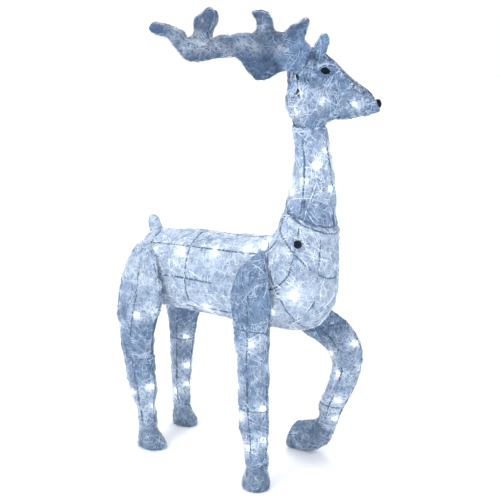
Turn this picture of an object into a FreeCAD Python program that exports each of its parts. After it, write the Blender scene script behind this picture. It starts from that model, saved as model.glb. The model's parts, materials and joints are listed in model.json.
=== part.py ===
import FreeCAD, Part
import math
import os

# Light up yard reindeer, millimetres.  +X is the way the body faces, +Y its left side, +Z up.
# The head, the neck, the antlers, the torso and each leg are hollow thread skins on welded wire
# frames.  Each one holds its own string of lamps and plugs into its neighbour.

V = FreeCAD.Vector
doc = FreeCAD.newDocument("yard_reindeer")
sizes = doc.addObject("Spreadsheet::Sheet", "Sizes")

DRIVING_SIZES = {
    "shift_x": -253.4,          # moves the drawing so that the box of the whole stands on the origin
    "shift_y": 48.9,
    "skin_wall": 2.5,           # thread skin
    "wire_radius": 2.0,         # welded steel wire
    "wire_inset": 4.0,          # wire centre below the skin's outer surface
    "weld_step": 3.9,           # a long wire's centre below its hoops' centres
    "head_axis_x": 442.5,       # upright axis about which the head looks round
    "head_turn": 30.0,
    "antler_root_y": 30.0,      # antler plane at its root, out from the head's middle
    "antler_root_z": 1050.0,
    "antler_lean": 16.0,        # outward lean, degrees
    "antler_thickness": 24.0,
    "skin_gap": 1.0,            # clearance between an antler and the crown
    "peg_radius": 3.0,
    "tube_bore": 3.05,
    "tube_radius": 5.0,
    "tube_length": 34.0,
    "peg_hole": 5.5,            # holes in the skins that the pegs pass through
    "peg_depth": 30.0,
    "cable_radius": 1.2,
    "lamp_radius": 2.8,
    "lamp_length": 9.0,
    "inlet_bore": 2.75,
    "inlet_bore_depth": 10.0,
    "inlet_radius": 7.0,
    "inlet_length": 26.0,
    "inlet_flange_radius": 11.0,
    "inlet_flange": 3.0,
    "inlet_x": 95.0,
    "inlet_z": 399.6,           # the flange's upper face, against the belly
    "inlet_nut_radius": 11.0,
    "inlet_nut": 5.0,
    "lock_x": 461.0,            # also the prongs of the neck
    "lock_z": 636.0,
    "lock_head_radius": 10.0,
    "lock_head": 6.0,
    "lock_slot": 3.0,
    "lock_shank": 3.0,
    "prong_y": 53.0,
    "prong_foot": 604.0,
    "prong_top": 740.0,
    "socket_foot": 600.0,
    "socket_top": 652.0,
    "plug_radius": 4.0,
    "plug_pin_radius": 2.0,
    "peg_gap": 0.05,            # bored hole over its rod
    "bridge_length": 17.0,      # strap across the frame that carries the neck's sockets
    "bridge_width": 146.0,
    "bridge_height": 6.0,
    "boss_length": 9.0,
    "boss_y": -66.0,
    "lock_y": -86.0,            # outer face of the lock screw's head
    "lock_slot_depth": 2.5,
    "outlet_wall": 2.0,
    "outlet_length": 22.0,
    "outlet_bore_depth": 16.0,
    "outlet_reach": 26.0,       # an outlet's foot below the flank's skin
    "neck_plug_x": 440.0,
    "neck_outlet_z": 672.0,
    "neck_outlet_length": 18.0,
    "neck_outlet_bore_depth": 12.0,
    "neck_plug_z": 691.0,
    "neck_plug_length": 18.0,
    "neck_pin_length": 10.0,
    "tail_x": -37.0,
    "tail_z": 615.0,
    "tail_lean": -20.0,
    "tail_up": 38.0,
    "tail_forward": 22.0,
    "tail_across": 12.0,
    "tail_wire_radius": 1.5,
    "tail_wire_bend": 6.0,
    "ear_x": 26.0,
    "ear_y": 39.0,
    "ear_z": 1099.0,
    "ear_up": 38.0,
    "ear_forward": 15.0,
    "ear_across": 7.0,
    "eye_x": 36.0,
    "eye_y": 43.0,
    "eye_z": 1047.0,
    "eye_tilt": 14.0,
    "eye_up": 7.5,
    "eye_forward": 11.5,
    "eye_across": 6.0,
    "nose_x": 166.0,
    "nose_z": 968.0,
    "nose_up": 12.0,
    "nose_forward": 9.0,
    "nose_across": 11.0,
}

# Hoops, one row each: back or top point (x, z), front or low point (x, z), the hoop centre's distance
# from the body's middle plane, and its half width across.
TORSO = [
    (-62, 566, -78, 494, 0, 26), (-52, 590, -75, 465, 0, 50), (-36, 608, -62, 430, 0, 75),
    (0, 614, -20, 408, 0, 88),
    (60, 618, 50, 400, 0, 93), (130, 621, 130, 400, 0, 95), (210, 621, 210, 398, 0, 96),
    (280, 622, 300, 396, 0, 96), (325, 624, 385, 394, 0, 95), (350, 634, 460, 405, 0, 93),
    (368, 655, 508, 455, 0, 88), (378, 680, 520, 540, 0, 80), (384, 700, 521, 610, 0, 72),
    (388, 716, 520, 664, 0, 62)]
NECK = [
    (388, 716.6, 520, 664.6, 0, 62), (396, 748, 511, 712, 0, 54), (407, 790, 510, 765, 0, 48),
    (411, 835, 502, 820, 0, 44), (409, 875, 494, 866, 0, 42), (401, 910, 484, 910, 0, 40)]
# The head's x is measured from its own turning axis.
HEAD = [
    (-41.5, 910, 41.5, 910, 0, 40), (-53, 950, 47, 924, 0, 42), (-56, 990, 66, 931, 0, 45),
    (-54, 1040, 86, 931, 0, 47), (-50, 1088, 104, 932, 0, 46), (-5, 1103, 120, 936, 0, 42),
    (61, 1067, 141, 940, 0, 36), (97, 1033, 153, 943, 0, 29), (132, 1008, 165, 946, 0, 22),
    (152, 992, 174, 951, 0, 15)]
SHOULDER = [
    (338, 604, 356, 604, 62, 4), (316, 575, 378, 575, 90, 8), (298, 545, 392, 545, 105, 11),
    (288, 500, 402, 500, 113, 14), (288, 455, 402, 455, 112, 16)]
STRAIGHT_FRONT_LEG = SHOULDER + [
    (295, 410, 400, 410, 113, 19), (301, 373, 400, 373, 115, 23), (310, 326, 396, 326, 117, 27),
    (316, 286, 398, 286, 119, 29), (321, 240, 398, 240, 122, 29), (325, 207, 401, 207, 124, 28),
    (325, 160, 404, 160, 127, 26), (337, 121, 404, 121, 130, 23), (345, 88, 404, 88, 133, 22),
    (350, 60, 407, 60, 135, 23)]
BENT_FRONT_LEG = SHOULDER + [
    (290, 438, 408, 450, 112, 17), (302, 408, 430, 436, 112, 19), (334, 374, 465, 417, 113, 21),
    (375, 350, 500, 396, 114, 25),
    (415, 334, 528, 368, 115, 28), (444, 316, 544, 336, 116, 29), (460, 290, 548, 300, 117, 29),
    (463, 262, 544, 266, 118, 28), (455, 220, 531, 224, 118, 27), (441, 186, 513, 186, 119, 26),
    (430, 157, 497, 156, 119, 24), (428, 125, 483, 122, 120, 22), (418, 103, 474, 90, 120, 21)]
THIGH = [
    (-28, 590, 0, 590, 73, 5), (-42, 570, 24, 570, 90, 8), (-54, 540, 44, 540, 104, 11),
    (-66, 500, 56, 500, 111, 14), (-76, 460, 66, 460, 112, 17), (-86, 425, 60, 425, 110, 21),
    (-88, 395, 48, 395, 108, 25)]
RIGHT_HIND_LEG = THIGH + [
    (-82, 330, 24, 330, 105, 29), (-75, 270, 20, 270, 102, 30), (-67, 215, 22, 215, 99, 29),
    (-61, 180, 24, 180, 97, 27), (-52, 147, 16, 147, 95, 24), (-42, 118, 14, 118, 93, 22),
    (-38, 78, 14, 78, 91, 21), (-38, 60, 15, 60, 90, 22)]
LEFT_HIND_LEG = THIGH + [
    (-76, 330, 23, 330, 105, 28), (-66, 270, 12, 270, 102, 28), (-62, 215, 6, 215, 99, 27),
    (-60, 180, 4, 180, 97, 25), (-57, 147, 2, 147, 95, 23), (-54, 118, 1, 118, 93, 21),
    (-53, 78, 3, 78, 91, 20), (-53, 60, 4, 60, 90, 20)]
RIGHT_FRONT_HOOF = [
    (350, 60, 407, 60, 135, 23), (347, 35, 411, 35, 137, 28), (341, 10, 415, 10, 139, 33),
    (343, 0, 414, 0, 140, 32)]
LEFT_FRONT_HOOF = [
    (418, 103, 474, 90, 120, 21), (398, 92, 458, 50, 120, 25), (372, 86, 420, 12, 120, 29),
    (358, 82, 374, 0.3, 120, 30), (349, 76, 328, 0.2, 120, 30)]
RIGHT_HIND_HOOF = [
    (-38, 60, 15, 60, 90, 22), (-41, 35, 28, 35, 89, 27), (-42, 10, 46, 10, 89, 31),
    (-40, 0, 45, 0, 89, 30)]
LEFT_HIND_HOOF = [
    (-53, 60, 4, 60, 90, 20), (-54, 35, 15, 35, 89, 25), (-55, 10, 26, 10, 89, 29),
    (-53, 0, 25, 0, 89, 28)]
HOOP_TABLES = {
    "torso": TORSO, "neck": NECK, "head": HEAD,
    "right_front_leg": STRAIGHT_FRONT_LEG, "left_front_leg": BENT_FRONT_LEG,
    "right_hind_leg": RIGHT_HIND_LEG, "left_hind_leg": LEFT_HIND_LEG,
    "right_front_hoof": RIGHT_FRONT_HOOF, "left_front_hoof": LEFT_FRONT_HOOF,
    "right_hind_hoof": RIGHT_HIND_HOOF, "left_hind_hoof": LEFT_HIND_HOOF}
FIELDS = ("topx", "topz", "lowx", "lowz", "side", "half")
PEG_HOOPS = (2, 4)              # hoops of a leg's plate that carry its two pegs
PLUG_HOOP = 3
PLUG_BACK = (12.0, 9.0)         # the plug stands this far behind and below that hoop's middle
LONG_WIRE_BEND = 30.0           # bend radii
ANTLER_WIRE_BEND = 5.0
CABLE_BEND = 12.0
ROOM_START = 0.3                # share of a step by which a closed end's inner loft stays back
EAR_LEAN = (0.3, 0.35)          # forward and outward slope of an ear
ANTLER_HOLE_SPAN = (-50, 60)    # span of the holes in the crown for the sockets and pins
TAIL_WIRE = [(-24, -5, 590), (-38, -5, 622), (-46, -3, 642), (-46, 3, 642), (-38, 5, 622),
             (-24, 5, 590)]
TORSO_HOOPS = [1, 2, 3, 4, 5, 6, 7, 8, 9, 10, 11, 12, 12.8]
TORSO_LINES = (0, 1, 2, 3, 5, 6, 7)     # no wire along the belly, where the inlet is
NECK_HOOPS = [0.12, 1, 2, 3, 4, 4.85]
HEAD_HOOPS = [0.12, 1, 2, 3, 4, 5, 6, 7, 8, 8.7]
QUARTER_LINES = (0, 2, 4, 6)            # long wires at the front, the back and both sides
LEG_END = 0.15                  # a leg's last hoop stands this share of a step inside its skin's end
# Lamp strings: (first and last step, lamps a step, turn a lamp, first turn, inset, lamp at every).
TORSO_STRING = ((1.8, 10.0), 6.0, 46.0, 246.0, 24.0, 2)
NECK_STRING = ((0.9, 4.6), 5.0, 80.0, 150.0, 20.0, 1)
LEG_STRING_START = 4.7
LEG_STRING_END = 0.4            # short of the leg's last hoop
LEG_STRING = (1.6, 110.0, 40.0, 19.6, 1)
LEAST_OFFSET = 0.5              # of a lamp from the middle line of a narrow section
WELD_ROOM = 0.1                 # between a tube and the wire ends welded to it

# Outline of one antler in its own plane: x forward from the head's axis, z up from the root.
ANTLER_OUTLINE = [
    (-7, 60), (-14, 69), (-15, 79), (-10, 92), (-7, 105), (-6, 118), (-13, 119), (-28, 109),
    (-50, 101), (-57, 90), (-69, 86), (-82, 89), (-89, 102), (-90, 114), (-96, 128), (-116, 138),
    (-137, 133), (-129, 122), (-125, 101), (-130, 88), (-155, 84), (-187, 79), (-219, 76),
    (-233, 73), (-240, 79), (-239, 90), (-231, 108), (-224, 132), (-228, 143), (-244, 142),
    (-254, 131), (-267, 123), (-270, 101), (-277, 80), (-290, 73), (-301, 80), (-308, 92),
    (-322, 98), (-345, 107), (-368, 109), (-375, 101), (-366, 89), (-336, 79), (-321, 61),
    (-300, 31), (-280, 22), (-242, 27), (-205, 32), (-177, 31), (-158, 14), (-139, -12),
    (-120, -24), (-95, -18), (-73, -5), (-52, -2), (-30, -4), (-12, 20)]
ANTLER_RIBS = [((-36, 4), (-30, 100)), ((-96, -10), (-100, 122)), ((-165, 26), (-170, 77)),
               ((-232, 32), (-246, 132)), ((-318, 66), (-296, 74))]
ANTLER_PINS = (-42, -18)        # x of the two plug pins
ANTLER_PIN_SPAN = (-46, 60)     # foot and top of the pins, up the antler's plane
ANTLER_SOCKET_SPAN = (-50, -6)
ANTLER_CABLE = [(-56, 30), (-72, 48), (-98, 62), (-112, 96), (-128, 62), (-158, 58), (-190, 54),
                (-222, 54), (-248, 64), (-252, 110), (-262, 90), (-272, 56), (-298, 56), (-318, 78),
                (-350, 96)]
HEAD_CABLE = [(0, 22, 922), (-24, -16, 950), (8, 20, 968), (-16, -14, 992), (26, -20, 978),
              (54, 14, 972), (52, -16, 1004), (84, 12, 982), (106, -8, 972), (132, 5, 970)]

next_row = 0


def put(alias, number):
    """One cell of the size sheet."""
    global next_row
    next_row += 1
    cell = "A%d" % next_row
    sizes.set(cell, str(number))
    sizes.setAlias(cell, alias)


for alias, number in DRIVING_SIZES.items():
    put(alias, number)
for table_name, table in HOOP_TABLES.items():
    for number, hoop in enumerate(table):
        for field, size in zip(FIELDS, hoop):
            put("%s%d_%s" % (table_name, number, field), size)
doc.recompute()


def size(alias):
    return float(sizes.get(alias))


BODY_PLACE = "placement(vector(Sizes.shift_x; Sizes.shift_y; 0); rotation(vector(0; 0; 1); 0))"
HEAD_PLACE = ("placement(vector(Sizes.shift_x + Sizes.head_axis_x; Sizes.shift_y; 0); "
              "rotation(vector(0; 0; 1); Sizes.head_turn))")


def antler_place(side):
    """The antler's plane leans outward from the head's own frame."""
    return ("placement(vector(0; %d * Sizes.antler_root_y; Sizes.antler_root_z); "
            "rotation(vector(1; 0; 0); %d * Sizes.antler_lean))" % (side, -side))


# ------------------------------------------------------------------ hoops and skins

def hoop_row(name, at, side=1):
    """Hoop at a whole or part step along a table: centre, unit long axis, half length, half width."""
    count = len(HOOP_TABLES[name])
    first = max(0, min(count - 2, int(math.floor(at))))
    share = at - first

    def field(key):
        low = size("%s%d_%s" % (name, first, key))
        high = size("%s%d_%s" % (name, first + 1, key))
        return low + (high - low) * share

    across = side * field("side")
    top = V(field("topx"), across, field("topz"))
    low = V(field("lowx"), across, field("lowz"))
    long_axis = top - low
    half_length = long_axis.Length / 2
    long_axis.normalize()
    return (top + low) * 0.5, long_axis, half_length, field("half")


def hoop_wire(name, at, less, side):
    """An ellipse of four quarter arcs, so that neighbouring hoops match vertex to vertex."""
    centre, long_axis, half_length, half_width = hoop_row(name, at, side)
    half_length -= less
    half_width -= less
    long_end = centre + long_axis * half_length
    wide_end = centre + V(0, half_width, 0)
    if half_length >= half_width:
        curve = Part.Ellipse(long_end, wide_end, centre)
        start = 0.0
    else:
        curve = Part.Ellipse(wide_end, centre - long_axis * half_length, centre)
        start = -math.pi / 2
    quarter = math.pi / 2
    return Part.Wire([Part.Arc(curve, start + i * quarter, start + (i + 1) * quarter).toShape()
                      for i in range(4)])


def loft(label, name, steps, less, side=1):
    """A lofted solid through the hoops at the given steps, each made smaller by less."""
    sections = []
    for number, at in enumerate(steps):
        section = doc.addObject("Part::Feature", "%s_hoop%d" % (label, number))
        section.Shape = hoop_wire(name, at, less, side)
        sections.append(section)
    solid = doc.addObject("Part::Loft", label)
    solid.Sections = sections
    solid.Solid = True
    solid.Ruled = False
    return solid


def cut(label, base, tool):
    result = doc.addObject("Part::Cut", label)
    result.Base = base
    result.Tool = tool
    return result


def fuse(label, pieces):
    result = doc.addObject("Part::MultiFuse", label)
    result.Shapes = pieces
    return result


def cylinder(label, radius, length, place):
    """A cylinder whose radius and length follow the sheet."""
    piece = doc.addObject("Part::Cylinder", label)
    piece.setExpression("Radius", radius)
    piece.setExpression("Height", length)
    piece.Placement = place
    return piece


def steps_between(first, last):
    """The ends and every whole step between them."""
    inner = [float(i) for i in range(int(math.floor(first)) + 1, int(math.ceil(last)))]
    return [first] + inner + [last]


def skin(label, name, closed_start, closed_end, side=1):
    """A thin shell: the outer loft less an inner one, open at each end that isn't closed."""
    last = len(HOOP_TABLES[name]) - 1
    outer = loft(label + "_outer", name, steps_between(0.0, float(last)), 0.0, side)
    first_inner = ROOM_START if closed_start else 0.0
    last_inner = last - ROOM_START if closed_end else float(last)
    wall = size("skin_wall")
    inner = loft(label + "_inner", name, steps_between(first_inner, last_inner), wall, side)
    return outer, cut(label + "_shell", outer, inner)


# ------------------------------------------------------------------ wires and cables

def rounded_path(points, radius):
    """Straight runs joined by tangent arcs."""
    edges = []
    here = points[0]
    for before, corner, after in zip(points, points[1:], points[2:]):
        come = corner - before
        leave = after - corner
        room = 0.45 * min(come.Length, leave.Length)
        come.normalize()
        leave.normalize()
        turn = come.getAngle(leave)
        if turn < 0.002:
            continue
        back = min(room, radius * math.tan(turn / 2))
        bend = back / math.tan(turn / 2)
        start = corner - come * back
        end = corner + leave * back
        towards = leave - come
        towards.normalize()
        middle = corner + towards * (bend / math.cos(turn / 2) - bend)
        edges.append(Part.LineSegment(here, start).toShape())
        edges.append(Part.Arc(start, middle, end).toShape())
        here = end
    edges.append(Part.LineSegment(here, points[-1]).toShape())
    return edges


def sweep(path_edges, radius, start, direction):
    """A round wire along a smooth path."""
    circle = Part.Wire([Part.Circle(start, direction, radius).toShape()])
    return Part.Wire(path_edges).makePipeShell([circle], True, False)


def bent_wire(points, radius, bend):
    """A wire of straight runs, bent at the points between them."""
    return sweep(rounded_path(points, bend), radius, points[0], points[1] - points[0])


def oval_points(half_length, half_width):
    """Four ends and four joints between the arcs of a four centre oval, as (along, across) pairs."""
    big = max(half_length, half_width)
    small = min(half_length, half_width)
    chord = math.hypot(big, small)
    half = (chord - (big - small)) / 2
    end_radius = half * chord / big
    side_radius = chord * (chord - half) / small
    centre_along = big - end_radius
    centre_across = small - side_radius
    reach = math.hypot(centre_along, centre_across)
    joint_along = centre_along + end_radius * centre_along / reach if reach > 1e-6 else big * 0.7071
    joint_across = -end_radius * centre_across / reach if reach > 1e-6 else small * 0.7071
    if half_length < half_width:
        joint_along, joint_across = joint_across, joint_along
    return [(half_length, 0), (joint_along, joint_across), (0, half_width), (-joint_along, joint_across),
            (-half_length, 0), (-joint_along, -joint_across), (0, -half_width),
            (joint_along, -joint_across)]


def frame_points(name, at, side, inset):
    """The eight points of the wire hoop at one step."""
    centre, long_axis, half_length, half_width = hoop_row(name, at, side)
    return [centre + long_axis * along + V(0, across, 0)
            for along, across in oval_points(half_length - inset, max(half_width - inset, 1.5))]


def hoop_ring(points, radius):
    """A wire ring of four tangent arcs through the eight points."""
    edges = [Part.Arc(points[i - 1], points[i], points[(i + 1) % 8]).toShape() for i in (2, 4, 6, 0)]
    first = edges[0]
    start = first.FirstParameter
    return sweep(edges, radius, first.valueAt(start), first.tangentAt(start))


def wire_frame(name, steps, lines, side=1):
    """Hoops, and inside them the long wires that are spot welded to them where they cross."""
    radius = size("wire_radius")
    inset = size("wire_inset")
    wires = [hoop_ring(frame_points(name, at, side, inset), radius) for at in steps]
    inner = [frame_points(name, at, side, inset + size("weld_step")) for at in steps]
    wires += [bent_wire([points[line] for points in inner], radius, LONG_WIRE_BEND) for line in lines]
    return wires


def trimmed(wires, rods):
    """Wires cut away where a tube, a peg or a plug stands, so that their ends meet it."""
    result = []
    for wire in wires:
        for rod in rods:
            if wire.BoundBox.intersect(rod.BoundBox) and wire.common(rod).Volume > 0:
                wire = wire.cut(rod)
        result.append(wire)
    return result


def feature(label, shape, place):
    """A finished piece whose shape was made above, placed by the sheet."""
    piece = doc.addObject("Part::Feature", label)
    piece.Shape = shape
    piece.setExpression("Placement", place)
    return piece


def lamp_shape():
    """A lamp: a short husk with a tapered clear tip, standing on its cable along +Z."""
    radius = size("lamp_radius")
    length = size("lamp_length")
    profile = [V(0, 0, 0), V(radius, 0, 0), V(radius, 0, length * 0.6), V(radius * 0.55, 0, length),
               V(0, 0, length), V(0, 0, 0)]
    return Part.Face(Part.makePolygon(profile)).revolve(V(0, 0, 0), V(0, 0, 1), 360)


def lamp_at(point, out):
    """A lamp at a point, its tip turned outward."""
    lamp = lamp_shape()
    lamp.Placement = FreeCAD.Placement(point, FreeCAD.Rotation(V(0, 0, 1), out))
    return lamp


def lamp_string(name, span, per_step, turn_step, phase, inset, every, side=1, lead=()):
    """A cable wound up the inside of a section after its lead, and lamps at its points."""
    first, last = span
    count = int(round((last - first) * per_step)) + 1
    points = []
    outs = []
    for number in range(count):
        at = first + (last - first) * number / (count - 1)
        centre, long_axis, half_length, half_width = hoop_row(name, at, side)
        angle = math.radians(phase + turn_step * number)
        offset = (long_axis * ((half_length - inset) * math.cos(angle))
                  + V(0, max(half_width - inset, LEAST_OFFSET) * math.sin(angle), 0))
        points.append(centre + offset)
        out = V(offset)
        out.normalize()
        outs.append(out)
    path = list(lead) + points
    cable = bent_wire(path, size("cable_radius"), CABLE_BEND)
    lamps = [lamp_at(points[number], outs[number]) for number in range(1, count - 1, every)]
    return cable, Part.makeCompound(lamps)


parts = {}


def keep(node, piece, place=None):
    """Names a finished piece."""
    if place:
        piece.setExpression("Placement", place)
    piece.Label = node
    parts[node] = piece


# ------------------------------------------------------------------ torso

LEFT_AND_RIGHT = (-1, 1)
along_y = FreeCAD.Rotation(V(0, 0, 1), V(0, 1, 0))
upright = FreeCAD.Rotation()
LEGS = {"right_front": -1, "left_front": 1, "right_hind": -1, "left_hind": 1}
peg_shift = size("peg_radius") + size("wire_radius") - 0.1      # pegs lie against the wires


def peg_axes(leg):
    """Where the two pegs of a leg's plate stand, as (x, z)."""
    centres = [hoop_row(leg + "_leg", hoop)[0] for hoop in PEG_HOOPS]
    return [(centre.x + peg_shift, centre.z - peg_shift) for centre in centres]


def plug_axis(leg):
    """Where the plug of a leg's lamp string stands, between the pegs."""
    centre = hoop_row(leg + "_leg", PLUG_HOOP)[0]
    return centre.x - PLUG_BACK[0], centre.z - PLUG_BACK[1]


def flank(x, z):
    """Half width of the torso's skin at a height, on the hoop nearest to x."""
    near = min((hoop_row("torso", quarter / 4.0) for quarter in range(37)),
               key=lambda row: abs(row[0].x - x))
    centre, _, half_length, half_width = near
    return half_width * math.sqrt(max(0.0, 1 - ((z - centre.z) / half_length) ** 2))


torso_outer, torso_shell = skin("torso_skin", "torso", True, False)
through_places = [place for leg in ("right_front", "right_hind")
                  for place in peg_axes(leg) + [plug_axis(leg)]]
holes = [cylinder("flank_hole%d" % number, "Sizes.peg_hole", "300",
                  FreeCAD.Placement(V(x, -150, z), along_y))
         for number, (x, z) in enumerate(through_places)]
holes.append(cylinder("lock_hole", "Sizes.lock_shank + 1", "60",
                      FreeCAD.Placement(V(size("lock_x"), -110, size("lock_z")), along_y)))
holes.append(cylinder("inlet_hole", "Sizes.inlet_radius + 0.1", "40",
                      FreeCAD.Placement(V(size("inlet_x"), 0, 385), upright)))
keep("torso_skin", cut("torso_skin_cut", torso_shell, fuse("torso_holes", holes)), BODY_PLACE)

tube_room = size("tube_radius") + WELD_ROOM
plug_room = size("plug_radius") + size("outlet_wall") + WELD_ROOM
flank_rods = []
for leg, side in LEGS.items():
    stations = [(x, z, tube_room) for x, z in peg_axes(leg)] + [plug_axis(leg) + (plug_room,)]
    for x, z, room in stations:
        deep = flank(x, z) - size("tube_length") - size("wire_inset")
        flank_rods.append(Part.makeCylinder(room, 2 * size("tube_length"), V(x, side * deep, z),
                                            V(0, side, 0)))
torso_wires = trimmed(wire_frame("torso", TORSO_HOOPS, TORSO_LINES), flank_rods)
keep("torso_frame", feature("torso_frame", Part.makeCompound(torso_wires), BODY_PLACE))

inlet_top = size("inlet_z") + size("inlet_length")
lead = [V(size("inlet_x"), 0, inlet_top), V(size("inlet_x"), 0, inlet_top + 14)]
torso_cable, torso_lamps = lamp_string("torso", *TORSO_STRING, lead=lead)
keep("torso_led_cable", feature("torso_led_cable", torso_cable, BODY_PLACE))
keep("torso_led_bulbs", feature("torso_led_bulbs", torso_lamps, BODY_PLACE))


def tube(label, start, turn, length="Sizes.tube_length"):
    """A receiver tube that a peg, a prong or a pin slides into."""
    outer = cylinder(label + "_outer", "Sizes.tube_radius", length, FreeCAD.Placement(start, turn))
    bore = cylinder(label + "_bore", "Sizes.tube_bore", length, FreeCAD.Placement(start, turn))
    return cut(label, outer, bore)


def group(label, pieces, place):
    compound = doc.addObject("Part::Compound", label)
    compound.Links = pieces
    keep(label, compound, place)


def leg_tubes(label, leg):
    """Two receiver tubes in each flank, for the pegs of a left and a right leg."""
    tubes = []
    for number, (x, z) in enumerate(peg_axes(leg)):
        for side in LEFT_AND_RIGHT:
            turn = FreeCAD.Rotation(V(0, 0, 1), V(0, -side, 0))
            start = V(x, side * (flank(x, z) - size("wire_inset")), z)
            tubes.append(tube("%s%d_%d" % (label, number, side + 1), start, turn))
    group(label, tubes, BODY_PLACE)


leg_tubes("front_leg_tubes", "right_front")
leg_tubes("hind_leg_tubes", "right_hind")

# Sockets for the neck's two prongs, on a bridge across the frame; the right one has a boss for the
# lock screw.
sockets = []
socket_length = "Sizes.socket_top - Sizes.socket_foot"
for side in LEFT_AND_RIGHT:
    foot = V(size("lock_x"), side * size("prong_y"), size("socket_foot"))
    sockets.append(tube("neck_socket%d" % (side + 1), foot, upright, socket_length))
bridge = doc.addObject("Part::Box", "neck_socket_bridge")
bridge.setExpression("Length", "Sizes.bridge_length")
bridge.setExpression("Width", "Sizes.bridge_width")
bridge.setExpression("Height", "Sizes.bridge_height")
bridge.Placement = FreeCAD.Placement(
    V(size("lock_x") - size("bridge_length") / 2 - 1.5, -size("bridge_width") / 2,
      size("socket_foot") - size("bridge_height")), upright)
boss_start = V(size("lock_x"), size("boss_y"), size("lock_z"))
boss_outer = cylinder("lock_boss_outer", "Sizes.tube_radius + 1", "Sizes.boss_length",
                      FreeCAD.Placement(boss_start, along_y))
boss_bore = cylinder("lock_boss_bore", "Sizes.lock_shank + Sizes.peg_gap", "Sizes.boss_length + 3",
                     FreeCAD.Placement(boss_start - V(0, 1, 0), along_y))
prong_room = cylinder("prong_room", "Sizes.tube_bore", socket_length,
                      FreeCAD.Placement(V(size("lock_x"), -size("prong_y"), size("socket_foot")),
                                        upright))
joined = fuse("neck_sockets_joined", sockets + [bridge, boss_outer])
keep("neck_sockets", cut("neck_sockets", joined, fuse("lock_bores", [boss_bore, prong_room])),
     BODY_PLACE)

# Lock screw: a slotted round head outside the skin, its tip just clear of the right prong.
lock_start = V(size("lock_x"), size("lock_y"), size("lock_z"))
lock_head = cylinder("lock_head", "Sizes.lock_head_radius", "Sizes.lock_head",
                     FreeCAD.Placement(lock_start, along_y))
lock_shank = cylinder("lock_shank", "Sizes.lock_shank", "-Sizes.lock_y - Sizes.prong_y - Sizes.peg_radius - 0.3",
                      FreeCAD.Placement(lock_start, along_y))
lock_slot = doc.addObject("Part::Box", "lock_slot")
lock_slot.setExpression("Length", "2 * Sizes.lock_head_radius + 2")
lock_slot.setExpression("Width", "Sizes.lock_slot_depth")
lock_slot.setExpression("Height", "Sizes.lock_slot")
lock_slot.Placement = FreeCAD.Placement(
    lock_start + V(-size("lock_head_radius") - 1, -0.5, -size("lock_slot") / 2), upright)
keep("neck_lock_screw", cut("neck_lock_screw", fuse("lock_body", [lock_head, lock_shank]), lock_slot),
     BODY_PLACE)

# Tail: a short upright leaf, open towards the rump.


def ellipsoid(label, family, place, less="0"):
    """An ellipsoid whose three radii are the sheet's sizes of that family."""
    piece = doc.addObject("Part::Ellipsoid", label)
    for radius, field in (("Radius1", "up"), ("Radius2", "forward"), ("Radius3", "across")):
        piece.setExpression(radius, "Sizes.%s_%s - %s" % (family, field, less))
    piece.Placement = place
    return piece


tail_place = FreeCAD.Placement(V(size("tail_x"), 0, size("tail_z")),
                               FreeCAD.Rotation(V(0, 1, 0), size("tail_lean")))
tail_outer = ellipsoid("tail_outer", "tail", tail_place)
tail_inner = ellipsoid("tail_inner", "tail", tail_place, "Sizes.skin_wall")
keep("tail_skin", cut("tail_skin", cut("tail_shell", tail_outer, tail_inner), torso_outer), BODY_PLACE)
tail_wire = bent_wire([V(*point) for point in TAIL_WIRE], size("tail_wire_radius"),
                      size("tail_wire_bend"))
keep("tail_frame", feature("tail_frame", tail_wire, BODY_PLACE))

# Low voltage inlet under the belly, and the nut that holds it.
inlet_start = V(size("inlet_x"), 0, size("inlet_z"))
inlet_barrel = cylinder("inlet_barrel", "Sizes.inlet_radius", "Sizes.inlet_length",
                        FreeCAD.Placement(inlet_start, upright))
inlet_flange = cylinder("inlet_flange", "Sizes.inlet_flange_radius", "Sizes.inlet_flange",
                        FreeCAD.Placement(inlet_start - V(0, 0, size("inlet_flange")), upright))
inlet_bore = cylinder("inlet_bore", "Sizes.inlet_bore", "Sizes.inlet_bore_depth",
                      FreeCAD.Placement(inlet_start - V(0, 0, size("inlet_flange")), upright))
keep("power_inlet", cut("power_inlet", fuse("inlet_body", [inlet_barrel, inlet_flange]), inlet_bore),
     BODY_PLACE)
nut_start = V(size("inlet_x"), 0, size("inlet_z") + 4.6)
nut_outer = doc.addObject("Part::Prism", "inlet_nut_outer")
nut_outer.Polygon = 6
nut_outer.setExpression("Circumradius", "Sizes.inlet_nut_radius")
nut_outer.setExpression("Height", "Sizes.inlet_nut")
nut_outer.Placement = FreeCAD.Placement(nut_start, upright)
nut_bore = cylinder("inlet_nut_bore", "Sizes.inlet_radius", "Sizes.inlet_nut",
                    FreeCAD.Placement(nut_start, upright))
keep("inlet_nut", cut("inlet_nut", nut_outer, nut_bore), BODY_PLACE)

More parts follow.
